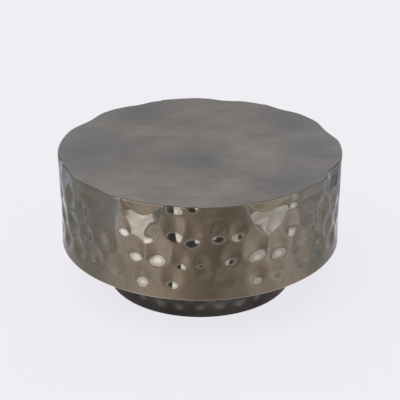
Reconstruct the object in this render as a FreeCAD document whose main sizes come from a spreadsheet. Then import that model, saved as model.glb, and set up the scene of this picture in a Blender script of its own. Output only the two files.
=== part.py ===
import FreeCAD, Part
import math
import os

import Sketcher
from FreeCAD import Placement, Rotation, Vector

# Drum coffee table in hammered sheet metal on a recessed round plinth.
# Millimetres, +Z up. The origin is on the floor under the middle of the table.
# Angles go round from the front (-Y) and are positive towards +X.

# Driving sizes: alias, value, what it is
SIZES = (
    ("drum_diameter", 900, "drum across its plain lower edge"),
    ("table_height", 450, "floor to table top"),
    ("plinth_diameter", 604, "plinth across its plain edges"),
    ("plinth_height", 150, "floor to underside of the drum"),
    ("shadow_gap", 3, "floor to lower edge of the plinth wall"),
    ("wall_thickness", 1.5, "hammered sheet of drum and plinth"),
    ("top_thickness", 2, "brushed top sheet"),
    ("floor_thickness", 1.5, "plate that closes the drum below"),
    ("board_thickness", 15, "fibreboard bonded under the top sheet"),
    ("weld_gap", 0.3, "room between a wall and what is welded inside it"),
    ("dent_radius", 45, "usual hammer dent, sideways and down from its middle"),
    ("dent_depth", 9.3, "usual hammer dent"),
    ("rim_dent_radius", 100, "large dents at the rim"),
    ("rim_dent_depth", 18, "deepest that a dent goes at the rim"),
    ("plinth_dent_radius", 31, "soft dents of the plinth"),
    ("plinth_dent_depth", 3.2, "soft dents of the plinth"),
    ("plinth_dent_count", 30, "soft dents in one row round the plinth"),
    ("pole_pitch", 11, "spacing of the surface poles that carry the dents"),
    ("angle_leg", 20, "rolled angle rings, outside of each leg"),
    ("angle_thickness", 3, "rolled angle rings"),
    ("bar_height", 30, "stiffening bars, on edge"),
    ("bar_thickness", 5, "stiffening bars"),
    ("lap_clearance", 0.4, "slot of the crossing bars over the bar thickness"),
    ("strap_width", 24, "backing strap of a wall seam"),
    ("strap_thickness", 2, "backing strap of a wall seam"),
    ("flange_width", 70, "flat ring that bolts the plinth to the drum"),
    ("flange_thickness", 4, "flat ring that bolts the plinth to the drum"),
    ("foot_ring_width", 40, "flat ring that carries the glides"),
    ("foot_ring_thickness", 4, "flat ring that carries the glides"),
    ("screw_diameter", 4, "pan head screws"),
    ("screw_head_diameter", 8, "pan head screws"),
    ("screw_head_height", 2.4, "pan head screws"),
    ("screw_length", 14, "pan head screws, under the head"),
    ("screw_count", 12, "screws round each angle ring"),
    ("bolt_diameter", 8, "plinth bolts"),
    ("bolt_length", 25, "plinth bolts, under the head"),
    ("bolt_head_width", 13, "plinth bolts and nuts, across flats"),
    ("bolt_head_height", 5.3, "plinth bolts"),
    ("bolt_edge", 18, "inner edge of the flange to the bolt circle"),
    ("bolt_count", 8, "plinth bolts"),
    ("nut_height", 6.5, "weld nuts on the drum floor"),
    ("washer_diameter", 16, "under the bolt heads"),
    ("washer_thickness", 1.6, "under the bolt heads"),
    ("hole_clearance", 0.5, "hole over shank, on the diameter"),
    ("glide_diameter", 36, "nylon pads under the plinth"),
    ("glide_height", 10, "floor to underside of the foot ring"),
    ("glide_chamfer", 2, "lower edge of a glide"),
    ("glide_recess", 4, "depth of the screw recess in a glide"),
    ("glide_count", 6, "glides under the foot ring"),
)

# Large round dents that pull in the rim: angle, share of the depth, share of the radius
RIM_DENTS = (
    (-151, 0.72, 0.93), (-121, 0.78, 1.15), (-75, 0.45, 0.50), (-66, 0.40, 0.82), (-46, 0.52, 1.20),
    (46, 0.36, 1.05), (64.5, 0.92, 0.53), (66, 0.65, 1.10), (108, 0.70, 1.15), (141, 0.66, 0.93),
    (168, 0.97, 1.09),
)

# Long dents of half the drum, that run down from the rim and hardly pull it in:
# angle, depth, half width, length as shares of the large dents' depth and radius
HALF_LONG_DENTS = ((-23.3, 0.92, 0.70, 1.00), (26.6, 0.98, 0.74, 1.08))

# Dents of half the drum: angle, share of the wall's height, share of the radius, share of the depth
HALF_DENTS = (
    # lowest row
    (-76, 0.21, 0.9, 0.4), (-67, 0.22, 1.0, 1.0), (-56, 0.21, 0.9, 0.9), (-44, 0.22, 0.9, 0.9),
    (-33, 0.22, 0.9, 0.42), (-22, 0.205, 1.0, 1.05), (-10.2, 0.22, 1.0, 0.9), (1.5, 0.31, 0.8, 0.42),
    (10, 0.22, 0.9, 0.4), (22, 0.205, 0.95, 0.85), (31, 0.21, 0.9, 0.5), (43, 0.22, 1.0, 0.6),
    (54, 0.22, 0.9, 0.9), (66, 0.22, 1.0, 1.0), (76, 0.21, 0.9, 0.4),
    # second row
    (-71, 0.41, 1.1, 0.7), (-60, 0.45, 1.0, 1.0), (-49, 0.42, 0.9, 0.9), (-37, 0.47, 0.9, 0.5),
    (-24.5, 0.47, 1.1, 1.05), (-16, 0.475, 1.25, 1.1), (-7, 0.41, 0.9, 0.8), (1, 0.40, 0.7, 0.65),
    (11.5, 0.45, 0.85, 0.62), (21.7, 0.51, 1.3, 1.05), (31, 0.47, 1.25, 1.2), (41, 0.42, 1.0, 0.6),
    (51, 0.46, 0.9, 0.9), (61, 0.42, 0.9, 0.9), (72, 0.44, 1.1, 0.7),
    # third row
    (-75, 0.66, 1.0, 0.5), (-62, 0.74, 1.0, 1.0), (-52, 0.66, 0.9, 0.9), (-41, 0.69, 0.9, 0.5),
    (-28.7, 0.70, 0.8, 0.85), (-19.0, 0.67, 1.12, 1.0), (-9.3, 0.74, 1.1, 1.05),
    (-2.5, 0.69, 1.0, 0.85), (7, 0.71, 0.8, 0.58), (14, 0.71, 0.85, 0.62),
    (36.5, 0.66, 1.05, 1.0), (46, 0.74, 1.1, 0.6), (56, 0.65, 1.0, 1.0), (67, 0.67, 1.0, 1.0),
    (77, 0.66, 1.0, 0.4),
    # at the rim
    (-12.3, 1.03, 1.3, 0.9), (-4.5, 1.03, 1.0, 0.7), (37, 0.95, 0.95, 0.6),
)

# Rows of plinth dents: share of the plinth wall's height, turn in dent pitches
PLINTH_ROWS = ((0.32, 0.0), (0.66, 0.5))

# Dents that overlap run into one another as a sum of powers, close to the deeper of the two
DENT_BLEND = 4

# Round dents: power that softens their edge, and how much further they reach up than down
DENT_POWER, DENT_RISE = 3, 1.6

# Long dents: powers of the outline sideways and down (1 a diamond, 2 an oval), and slack at which a flank
# is at full depth. The face under the rim has a first share of the depth at the rim, and reaches its full
# depth at a share of the length more. Rounding is between face and flanks.
LONG_POWER, LONG_DROP, LONG_FLANK = 1.42, 1.1, 0.85
LONG_START, LONG_FACE, LONG_ROUNDING = 0.25, 0.78, 0.06

doc = FreeCAD.newDocument("drum_table")
sheet = doc.addObject("Spreadsheet::Sheet", "Sizes")
for line, (alias, number, note) in enumerate(SIZES, start=1):
    sheet.set(f"A{line}", alias)
    sheet.set(f"B{line}", str(number))
    sheet.set(f"C{line}", note)
    sheet.setAlias(f"B{line}", alias)
doc.recompute()

# Places that follow from the sizes, as expressions on the sheet
DRUM_RADIUS = "(Sizes.drum_diameter / 2)"
PLINTH_RADIUS = "(Sizes.plinth_diameter / 2)"
WALL_TOP = "(Sizes.table_height - Sizes.top_thickness)"
WALL_FOOT = "(Sizes.plinth_height + Sizes.floor_thickness)"
BOARD_UNDERSIDE = f"({WALL_TOP} - Sizes.board_thickness)"
DRUM_SEAT = f"({DRUM_RADIUS} - Sizes.wall_thickness - Sizes.weld_gap)"
CROWN_SEAT = f"({DRUM_SEAT} - Sizes.rim_dent_depth)"
PLINTH_SEAT = f"({PLINTH_RADIUS} - Sizes.wall_thickness - Sizes.weld_gap)"
FLANGE_UNDERSIDE = "(Sizes.plinth_height - Sizes.flange_thickness)"
FLANGE_INNER = f"({PLINTH_SEAT} - Sizes.flange_width)"
FOOT_RING_TOP = "(Sizes.glide_height + Sizes.foot_ring_thickness)"
FOOT_RING_INNER = f"({PLINTH_SEAT} - Sizes.foot_ring_width)"
WASHER_UNDERSIDE = f"({FLANGE_UNDERSIDE} - Sizes.washer_thickness)"
BOLT_CIRCLE = f"({FLANGE_INNER} + Sizes.bolt_edge)"
GLIDE_CIRCLE = f"({PLINTH_SEAT} - Sizes.foot_ring_width / 2)"
TOP_SCREW_CIRCLE = f"({CROWN_SEAT} - (Sizes.angle_leg + Sizes.angle_thickness) / 2)"
FLOOR_SCREW_CIRCLE = f"({DRUM_SEAT} - (Sizes.angle_leg + Sizes.angle_thickness) / 2)"
SCREW_RADIUS = "(Sizes.screw_diameter / 2)"
SCREW_HOLE = "((Sizes.screw_diameter + Sizes.hole_clearance) / 2)"
SCREW_HEAD = "(Sizes.screw_head_diameter / 2)"
HEAD_HOLE = "((Sizes.screw_head_diameter + Sizes.hole_clearance) / 2)"
BOLT_RADIUS = "(Sizes.bolt_diameter / 2)"
BOLT_HOLE = "((Sizes.bolt_diameter + Sizes.hole_clearance) / 2)"
BAR_TURN = "(180 / Sizes.bolt_count)"

subparts = []


def value(expression):
    """Number that an expression on the sheet gives now."""
    return float(sheet.evalExpression(expression))


def size(alias):
    return float(sheet.get(alias))


# Sketches and features

def new_body(label):
    body = doc.addObject("PartDesign::Body", label)
    body.Label = label
    subparts.append(body)
    return body


def origin_feature(body, role):
    for feature in body.Origin.OriginFeatures:
        if feature.Role == role:
            return feature
    raise ValueError(role)


def new_sketch(body, role, lift=None):
    sketch = body.newObject("Sketcher::SketchObject", "sketch")
    sketch.AttachmentSupport = [(origin_feature(body, role), "")]
    sketch.MapMode = "FlatFace"
    if lift:
        sketch.setExpression("AttachmentOffset.Base.z", lift)
    return sketch


def bind(sketch, kind, *where, expression):
    """Dimension that takes its number from the sheet."""
    index = sketch.addConstraint(Sketcher.Constraint(kind, *where, value(expression)))
    sketch.setExpression(f"Constraints[{index}]", expression)


def place_point(sketch, curve, point, x, y):
    """Tie a point of a curve to the sketch origin. "0" puts it on the axis."""
    for kind, expression, axis in (("DistanceX", x, -2), ("DistanceY", y, -1)):
        if expression == "0":
            sketch.addConstraint(Sketcher.Constraint("PointOnObject", curve, point, axis))
        else:
            bind(sketch, kind, -1, 1, curve, point, expression=expression)


def add_outline(sketch, corners):
    """Closed outline of straight lines through corners given as expressions."""
    points = [Vector(value(x), value(y), 0) for x, y in corners]
    curves = []
    for start, end in zip(points, points[1:] + points[:1]):
        curves.append(sketch.addGeometry(Part.LineSegment(start, end)))
    for curve, following in zip(curves, curves[1:] + curves[:1]):
        sketch.addConstraint(Sketcher.Constraint("Coincident", curve, 2, following, 1))
    for curve, (x, y) in zip(curves, corners):
        place_point(sketch, curve, 1, x, y)


def add_circle(sketch, radius, x="0", y="0"):
    centre = Vector(value(x), value(y), 0)
    curve = sketch.addGeometry(Part.Circle(centre, Vector(0, 0, 1), value(radius)))
    place_point(sketch, curve, 3, x, y)
    bind(sketch, "Radius", curve, expression=radius)


def pad(body, sketch, length, symmetric=False):
    feature = body.newObject("PartDesign::Pad", "pad")
    feature.Profile = sketch
    feature.setExpression("Length", length)
    if symmetric:
        feature.SideType = "Symmetric"
    return feature


def turn(body, corners, axis="0"):
    """Section of radius and height corners, turned about an upright axis at x = axis."""
    sketch = new_sketch(body, "XZ_Plane")
    add_outline(sketch, [(f"{axis} + {radius}", height) for radius, height in corners])
    feature = body.newObject("PartDesign::Revolution", "turned")
    feature.Profile = sketch
    if axis == "0":
        feature.ReferenceAxis = (sketch, ["V_Axis"])
    else:
        low = Vector(value(axis), value(corners[0][1]), 0)
        line = sketch.addGeometry(Part.LineSegment(low, low + Vector(0, size("screw_length"), 0)), True)
        sketch.addConstraint(Sketcher.Constraint("Vertical", line))
        place_point(sketch, line, 1, axis, corners[0][1])
        bind(sketch, "DistanceY", line, 1, line, 2, expression="Sizes.screw_length")
        feature.ReferenceAxis = (sketch, ["Axis0"])
    return feature


def repeat_round(body, features, count):
    pattern = body.newObject("PartDesign::PolarPattern", "round_the_axis")
    pattern.Originals = features
    pattern.Axis = (origin_feature(body, "Z_Axis"), [""])
    pattern.Angle = 360
    pattern.setExpression("Occurrences", count)
    body.Tip = pattern


def drill_round(body, circle, radius, foot, depth, count):
    """Ring of upright holes that start at height foot and go up."""
    sketch = new_sketch(body, "XY_Plane", foot)
    add_circle(sketch, radius, circle)
    pocket = body.newObject("PartDesign::Pocket", "hole")
    pocket.Profile = sketch
    pocket.Reversed = True
    pocket.setExpression("Length", depth)
    repeat_round(body, [pocket], count)


def flat_ring(label, outer, inner, foot, top):
    body = new_body(label)
    turn(body, ((inner, foot), (outer, foot), (outer, top), (inner, top)))
    return body


def angle_ring(label, outer, flat_face, outwards):
    """Rolled angle: one leg lies on flat_face, the other stands along outer.

    outwards is "+" where the standing leg goes up from the face and "-" where it hangs down.
    """
    body = new_body(label)
    flat = f"({flat_face} {outwards} Sizes.angle_thickness)"
    end = f"({flat_face} {outwards} Sizes.angle_leg)"
    inner = f"({outer} - Sizes.angle_leg)"
    web = f"({outer} - Sizes.angle_thickness)"
    turn(body, ((inner, flat_face), (outer, flat_face), (outer, end), (web, end), (web, flat), (inner, flat)))
    return body


def crossing_bar(label, reach, foot, slot_from_top, turned):
    """Bar on edge across the middle, notched to half its height for the bar that crosses it."""
    body = new_body(label)
    top = f"({foot} + Sizes.bar_height)"
    middle = f"({foot} + Sizes.bar_height / 2)"
    slot = "((Sizes.bar_thickness + Sizes.lap_clearance) / 2)"
    plain, notched = (foot, top) if slot_from_top else (top, foot)
    sketch = new_sketch(body, "XZ_Plane")
    add_outline(sketch, (
        (f"-{reach}", plain), (reach, plain), (reach, notched), (slot, notched),
        (slot, middle), (f"-{slot}", middle), (f"-{slot}", notched), (f"-{reach}", notched),
    ))
    pad(body, sketch, "Sizes.bar_thickness", symmetric=True)
    body.Placement = Placement(Vector(), Vector(0, 0, 1), 0)
    body.setExpression("Placement.Rotation.Angle", f"{BAR_TURN} + {turned}")


def seam_strap(label, outer, foot, top, side):
    """Curved strap behind a wall seam, side +1 at +X and -1 at -X."""
    body = new_body(label)
    inner = f"({outer} - Sizes.strap_thickness)"
    feature = turn(body, ((inner, foot), (outer, foot), (outer, top), (inner, top)))
    feature.Midplane = True
    feature.setExpression("Angle", f"Sizes.strap_width / {outer} * 180 / pi")
    if side < 0:
        body.Placement = Placement(Vector(), Rotation(Vector(0, 0, 1), 180))


def add_hexagon(sketch, width, x):
    corner = f"({width} / sqrt(3))"
    add_outline(sketch, [
        (f"{x} + {corner} * cos({60 * step} deg)", f"{corner} * sin({60 * step} deg)" if step % 3 else "0")
        for step in range(6)
    ])


def pan_screws(label, circle, head_under, count):
    """Ring of pan head screws, heads down, whose heads bear on the face at head_under."""
    body = new_body(label)
    foot = f"({head_under} - Sizes.screw_head_height)"
    tip = f"({head_under} + Sizes.screw_length)"
    screw = turn(body, (
        ("0", foot), (SCREW_HEAD, foot), (SCREW_HEAD, head_under),
        (SCREW_RADIUS, head_under), (SCREW_RADIUS, tip), ("0", tip),
    ), circle)
    repeat_round(body, [screw], count)


# Hammered walls

def smooth_min(first, second, rounding):
    """Smaller of two numbers, with the corner between them rounded off."""
    near = max(rounding - abs(first - second), 0) / rounding
    return min(first, second) - near ** 3 * rounding / 6


def round_dent(across, below):
    """Share of the depth in a round dent, at shares of its radius from its middle."""
    if below < 0:
        below = below / DENT_RISE
    return max(1 - across ** 2 - below ** 2, 0) ** DENT_POWER


def long_dent(across, below):
    """Share of the depth in a long dent: two sloping flanks, and a face that leads in from the rim."""
    slack = max(1 - abs(across) ** LONG_POWER - abs(below) ** LONG_DROP, 0)
    face = LONG_START + below / LONG_FACE
    return max(smooth_min(slack / LONG_FLANK, face, LONG_ROUNDING), 0)


def dent_depth(angle, height, dents, radius):
    """How far the dents push the wall in at one place."""
    total = 0.0
    for form, dent_angle, dent_height, half_width, half_height, depth in dents:
        across = math.radians((angle - dent_angle + 180) % 360 - 180) * radius / half_width
        below = (dent_height - height) / half_height
        total += (depth * form(across, below)) ** DENT_BLEND
    return total ** (1 / DENT_BLEND)


def drum_dents():
    """Form, angle, height, half width, half height and depth of every dent of the drum."""
    foot, top = value(WALL_FOOT), value(WALL_TOP)
    rim_radius, rim_depth = size("rim_dent_radius"), size("rim_dent_depth")
    dents = []
    for angle, depth, radius in RIM_DENTS:
        reach = radius * rim_radius
        dents.append((round_dent, angle, top, reach, reach, depth * rim_depth))
    for half_turn in (0, 180):
        for angle, depth, width, length in HALF_LONG_DENTS:
            dents.append((long_dent, angle + half_turn, top,
                          width * rim_radius, length * rim_radius, depth * rim_depth))
        for angle, share, radius, depth in HALF_DENTS:
            height = foot + share * (top - foot)
            reach = radius * size("dent_radius")
            dents.append((round_dent, angle + half_turn, height, reach, reach, depth * size("dent_depth")))
    return dents


def plinth_dents():
    """Staggered rows of soft dents that stay clear of the two seams."""
    foot, top = size("shadow_gap"), size("plinth_height")
    pitch = 360 / size("plinth_dent_count")
    clear = (size("strap_width") / 2 + size("plinth_dent_radius")) / value(PLINTH_RADIUS)
    dents = []
    for share, stagger in PLINTH_ROWS:
        for step in range(int(size("plinth_dent_count"))):
            angle = (step + stagger) * pitch
            if abs(math.cos(math.radians(angle))) > math.sin(clear):
                height = foot + share * (top - foot)
                reach = size("plinth_dent_radius")
                dents.append((round_dent, angle, height, reach, reach, size("plinth_dent_depth")))
    return dents


def clamped_knots(poles, degree=3):
    knots = list(range(poles - degree + 1))
    repeats = [degree + 1] + [1] * (len(knots) - 2) + [degree + 1]
    return knots, repeats


def hammered_surface(start, end, foot, top, radius, dents, inset):
    """Cubic surface over one arc of wall, its poles pushed in by the dents and by inset."""
    pitch = size("pole_pitch")
    columns = round(math.radians(end - start) * radius / pitch) + 1
    rows = round((top - foot) / pitch) + 1
    poles = []
    for column in range(columns):
        angle = start + (end - start) * column / (columns - 1)
        spoke = Vector(math.sin(math.radians(angle)), -math.cos(math.radians(angle)), 0)
        line = []
        for row in range(rows):
            height = foot + (top - foot) * row / (rows - 1)
            reach = radius - inset - dent_depth(angle, height, dents, radius)
            line.append(spoke * reach + Vector(0, 0, height))
        poles.append(line)
    round_knots, round_repeats = clamped_knots(columns)
    up_knots, up_repeats = clamped_knots(rows)
    surface = Part.BSplineSurface()
    surface.buildFromPolesMultsKnots(
        poles, round_repeats, up_repeats, round_knots, up_knots, False, False, 3, 3)
    return surface


def edge_face(outer_curve, inner_curve):
    """Flat face that closes one edge of a wall panel."""
    outer = outer_curve.toShape()
    inner = inner_curve.toShape()
    joins = []
    for outside, inside in zip(outer.Vertexes, inner.Vertexes):
        joins.append(Part.LineSegment(outside.Point, inside.Point).toShape())
    return Part.Face(Part.Wire(Part.__sortEdges__([outer, inner] + joins)))


def hammered_panel(label, start, end, foot, top, radius, dents):
    """Panel of even thickness between two hammered surfaces. Returns its outer surface too."""
    outer = hammered_surface(start, end, foot, top, radius, dents, 0)
    inner = hammered_surface(start, end, foot, top, radius, dents, size("wall_thickness"))
    first_u, last_u, first_v, last_v = outer.bounds()
    faces = [outer.toShape(), inner.toShape()]
    for u in (first_u, last_u):
        faces.append(edge_face(outer.uIso(u), inner.uIso(u)))
    for v in (first_v, last_v):
        faces.append(edge_face(outer.vIso(v), inner.vIso(v)))
    shell = Part.makeShell(faces)
    shell.sewShape()
    panel = doc.addObject("Part::Feature", label)
    panel.Label = label
    panel.Shape = Part.makeSolid(shell)
    panel.Placement = Placement()
    subparts.append(panel)
    return outer.vIso(last_v)


# Drum wall: two rolled halves, welded at the sides over backing straps

drum_rim = []
for side_name, first_angle in (("front", -90), ("back", 90)):
    drum_rim.append(hammered_panel(
        f"drum_panel_{side_name}", first_angle, first_angle + 180,
        value(WALL_FOOT), value(WALL_TOP), value(DRUM_RADIUS), drum_dents()))

strap_foot = f"({WALL_FOOT} + Sizes.angle_leg + Sizes.weld_gap)"
seam_strap("drum_strap_right", DRUM_SEAT, strap_foot, WALL_TOP, 1)
seam_strap("drum_strap_left", DRUM_SEAT, strap_foot, WALL_TOP, -1)

# Top: a sheet that follows the hammered rim, on a board in an angle ring with crossed bars

rim_outline = doc.addObject("Part::Feature", "rim_outline")
rim_outline.Shape = Part.Wire([curve.toShape() for curve in drum_rim])
top_sheet = doc.addObject("Part::Extrusion", "top_sheet")
top_sheet.Label = "top_sheet"
top_sheet.Base = rim_outline
top_sheet.Solid = True
top_sheet.DirMode = "Custom"
top_sheet.Dir = Vector(0, 0, 1)
top_sheet.setExpression("LengthFwd", "Sizes.top_thickness")
subparts.append(top_sheet)

top_board = new_body("top_board")
board_sketch = new_sketch(top_board, "XY_Plane", BOARD_UNDERSIDE)
add_circle(board_sketch, CROWN_SEAT)
pad(top_board, board_sketch, "Sizes.board_thickness")
screw_reach = "(Sizes.screw_length - Sizes.angle_thickness + Sizes.hole_clearance)"
drill_round(top_board, TOP_SCREW_CIRCLE, SCREW_HOLE, BOARD_UNDERSIDE, screw_reach, "Sizes.screw_count")

top_ring_face = f"({BOARD_UNDERSIDE} - Sizes.angle_thickness)"
top_ring = angle_ring("top_ring", CROWN_SEAT, BOARD_UNDERSIDE, "-")
drill_round(top_ring, TOP_SCREW_CIRCLE, SCREW_HOLE, top_ring_face,
            "Sizes.angle_thickness", "Sizes.screw_count")
pan_screws("top_ring_screws", TOP_SCREW_CIRCLE, top_ring_face, "Sizes.screw_count")

top_bar_reach = f"({CROWN_SEAT} - Sizes.angle_leg - Sizes.weld_gap)"
top_bar_foot = f"({BOARD_UNDERSIDE} - Sizes.bar_height)"
crossing_bar("top_bar_lower", top_bar_reach, top_bar_foot, True, 0)
crossing_bar("top_bar_upper", top_bar_reach, top_bar_foot, False, 90)

# Drum floor: a plate under an angle ring with crossed bars

floor_plate = new_body("floor_plate")
plate_sketch = new_sketch(floor_plate, "XY_Plane", "Sizes.plinth_height")
add_circle(plate_sketch, DRUM_RADIUS)
pad(floor_plate, plate_sketch, "Sizes.floor_thickness")
drill_round(floor_plate, FLOOR_SCREW_CIRCLE, SCREW_HOLE, "Sizes.plinth_height",
            "Sizes.floor_thickness", "Sizes.screw_count")
drill_round(floor_plate, BOLT_CIRCLE, BOLT_HOLE, "Sizes.plinth_height",
            "Sizes.floor_thickness", "Sizes.bolt_count")

floor_ring = angle_ring("floor_ring", DRUM_SEAT, WALL_FOOT, "+")
drill_round(floor_ring, FLOOR_SCREW_CIRCLE, SCREW_HOLE, WALL_FOOT,
            "Sizes.angle_thickness", "Sizes.screw_count")
pan_screws("floor_plate_screws", FLOOR_SCREW_CIRCLE, "Sizes.plinth_height", "Sizes.screw_count")

floor_bar_reach = f"({DRUM_SEAT} - Sizes.angle_leg - Sizes.weld_gap)"
crossing_bar("floor_bar_lower", floor_bar_reach, WALL_FOOT, True, 0)
crossing_bar("floor_bar_upper", floor_bar_reach, WALL_FOOT, False, 90)

# Plinth: two rolled halves between a bolting flange and a foot ring

for side_name, first_angle in (("front", -90), ("back", 90)):
    hammered_panel(
        f"plinth_panel_{side_name}", first_angle, first_angle + 180,
        size("shadow_gap"), size("plinth_height"), value(PLINTH_RADIUS), plinth_dents())

plinth_strap_foot = f"({FOOT_RING_TOP} + Sizes.weld_gap)"
plinth_strap_top = f"({FLANGE_UNDERSIDE} - Sizes.weld_gap)"
seam_strap("plinth_strap_right", PLINTH_SEAT, plinth_strap_foot, plinth_strap_top, 1)
seam_strap("plinth_strap_left", PLINTH_SEAT, plinth_strap_foot, plinth_strap_top, -1)

flange = flat_ring("plinth_flange", PLINTH_SEAT, FLANGE_INNER, FLANGE_UNDERSIDE, "Sizes.plinth_height")
drill_round(flange, BOLT_CIRCLE, BOLT_HOLE, FLANGE_UNDERSIDE, "Sizes.flange_thickness", "Sizes.bolt_count")
foot_ring = flat_ring("plinth_foot_ring", PLINTH_SEAT, FOOT_RING_INNER, "Sizes.glide_height", FOOT_RING_TOP)
drill_round(foot_ring, GLIDE_CIRCLE, SCREW_HOLE, "Sizes.glide_height", "Sizes.foot_ring_thickness",
            "Sizes.glide_count")

# Bolts go up through washer, flange and drum floor into nuts

bolts = new_body("plinth_bolts")
head_sketch = new_sketch(bolts, "XY_Plane", f"{WASHER_UNDERSIDE} - Sizes.bolt_head_height")
add_hexagon(head_sketch, "Sizes.bolt_head_width", BOLT_CIRCLE)
head = pad(bolts, head_sketch, "Sizes.bolt_head_height")
shank_sketch = new_sketch(bolts, "XY_Plane", WASHER_UNDERSIDE)
add_circle(shank_sketch, BOLT_RADIUS, BOLT_CIRCLE)
shank = pad(bolts, shank_sketch, "Sizes.bolt_length")
repeat_round(bolts, [head, shank], "Sizes.bolt_count")

washers = new_body("plinth_washers")
washer_sketch = new_sketch(washers, "XY_Plane", WASHER_UNDERSIDE)
add_circle(washer_sketch, "Sizes.washer_diameter / 2", BOLT_CIRCLE)
add_circle(washer_sketch, BOLT_HOLE, BOLT_CIRCLE)
washer = pad(washers, washer_sketch, "Sizes.washer_thickness")
repeat_round(washers, [washer], "Sizes.bolt_count")

nuts = new_body("plinth_nuts")
nut_sketch = new_sketch(nuts, "XY_Plane", WALL_FOOT)
add_hexagon(nut_sketch, "Sizes.bolt_head_width", BOLT_CIRCLE)
add_circle(nut_sketch, BOLT_HOLE, BOLT_CIRCLE)
nut = pad(nuts, nut_sketch, "Sizes.nut_height")
repeat_round(nuts, [nut], "Sizes.bolt_count")

# Glides: chamfered nylon pads with a recess for the screw head

glides = new_body("glides")
glide_edge = "(Sizes.glide_diameter / 2)"
glide_foot = "(Sizes.glide_diameter / 2 - Sizes.glide_chamfer)"
glide = turn(glides, (
    (HEAD_HOLE, "0"), (glide_foot, "0"), (glide_edge, "Sizes.glide_chamfer"),
    (glide_edge, "Sizes.glide_height"), (SCREW_HOLE, "Sizes.glide_height"),
    (SCREW_HOLE, "Sizes.glide_recess"), (HEAD_HOLE, "Sizes.glide_recess"),
), GLIDE_CIRCLE)
repeat_round(glides, [glide], "Sizes.glide_count")
pan_screws("glide_screws", GLIDE_CIRCLE, "Sizes.glide_recess", "Sizes.glide_count")

# Check every object, then write one file for each sub-part

doc.recompute()
for item in doc.Objects:
    if "Invalid" in item.State or "Error" in item.State:
        raise RuntimeError(f"{item.Label} failed: {item.State}")
for item in subparts:
    if item.Shape.isNull() or not item.Shape.isValid():
        raise RuntimeError(f"{item.Label} has no valid shape")
os.makedirs("parts", exist_ok=True)
for item in subparts:
    item.Shape.exportStep(f"parts/{item.Label}.step")
    print(item.Label, len(item.Shape.Solids), "solids", round(item.Shape.Volume), "mm3")
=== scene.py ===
import math

import bmesh
import bpy
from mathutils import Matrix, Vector


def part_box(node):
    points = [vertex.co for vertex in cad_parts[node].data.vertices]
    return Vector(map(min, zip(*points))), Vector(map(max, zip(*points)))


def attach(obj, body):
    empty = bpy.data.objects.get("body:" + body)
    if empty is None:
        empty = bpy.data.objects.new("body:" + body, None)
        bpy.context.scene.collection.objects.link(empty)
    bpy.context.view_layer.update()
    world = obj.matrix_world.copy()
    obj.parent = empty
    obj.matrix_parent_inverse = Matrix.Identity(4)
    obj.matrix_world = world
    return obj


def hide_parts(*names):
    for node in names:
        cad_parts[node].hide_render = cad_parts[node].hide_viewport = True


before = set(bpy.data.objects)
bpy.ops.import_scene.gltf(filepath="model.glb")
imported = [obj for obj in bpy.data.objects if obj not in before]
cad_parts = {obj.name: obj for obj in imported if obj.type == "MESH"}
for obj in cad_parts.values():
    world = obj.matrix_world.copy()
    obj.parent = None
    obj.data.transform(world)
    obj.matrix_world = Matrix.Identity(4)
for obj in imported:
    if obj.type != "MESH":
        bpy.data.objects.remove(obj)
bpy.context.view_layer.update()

# Sizes in metres, from the frame. The sheets keep a hair inside the solids.

SHEET_INSET = 0.0002
drum_low, drum_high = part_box("drum_panel_front")
plinth_low, plinth_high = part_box("plinth_panel_front")
TABLE_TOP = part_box("top_sheet")[1].z - SHEET_INSET
DRUM_RADIUS, PLINTH_RADIUS = drum_high.x - SHEET_INSET, plinth_high.x - SHEET_INSET
WALL_FOOT, WALL_TOP = drum_low.z, drum_high.z
PLINTH_FOOT, PLINTH_TOP = plinth_low.z, plinth_high.z
WALL_THICKNESS = 0.0015
TOP_THICKNESS = TABLE_TOP - WALL_TOP
EDGE_RADIUS = 0.0028
ROLL_FOOT = TABLE_TOP - EDGE_RADIUS

# Hammer work, with angles in degrees from the front, positive towards +X

DENT_RADIUS, DENT_DEPTH = 0.045, 0.0093
RIM_DENT_RADIUS, RIM_DENT_DEPTH = 0.100, 0.018
PLINTH_DENT_RADIUS, PLINTH_DENT_DEPTH = 0.031, 0.0032
PLINTH_DENT_COUNT = 30
SEAM_MARGIN = 0.012

# Dents that overlap run into one another as a sum of powers, close to the deeper of the two
DENT_BLEND = 4

# Round dents: power of the outline (2 an oval), power that softens their edge,
# and how much further they reach up than down
ROUND_POWER, DENT_POWER, DENT_RISE = 2.0, 3, 1.6

# Long dents: powers of the outline sideways and down (1 a diamond, 2 an oval), and slack at which a flank
# is at full depth. The face under the rim has a first share of the depth at the rim, and reaches its full
# depth at a share of the length more. Rounding is between face and flanks.
LONG_POWER, LONG_DROP, LONG_FLANK = 1.7, 1.1, 0.85
LONG_START, LONG_FACE, LONG_ROUNDING = 0.25, 0.50, 0.06

# Large round dents that pull in the rim: angle, share of the depth, share of the radius
RIM_DENTS = (
    (-151, 0.72, 0.93), (-121, 0.78, 1.15), (-75, 0.45, 0.50), (-66, 0.40, 0.82), (-46, 0.52, 1.20),
    (46, 0.36, 1.05), (64.5, 0.92, 0.53), (66, 0.65, 1.10), (108, 0.70, 1.15), (141, 0.66, 0.93),
    (168, 0.97, 1.09),
)

# Long dents of half the drum, that run down from the rim and hardly pull it in:
# angle, depth, half width and length as shares of the large dents' depth and radius
HALF_LONG_DENTS = ((-22.4, 1.10, 0.70, 1.40), (26.6, 0.98, 0.76, 1.20))

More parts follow.
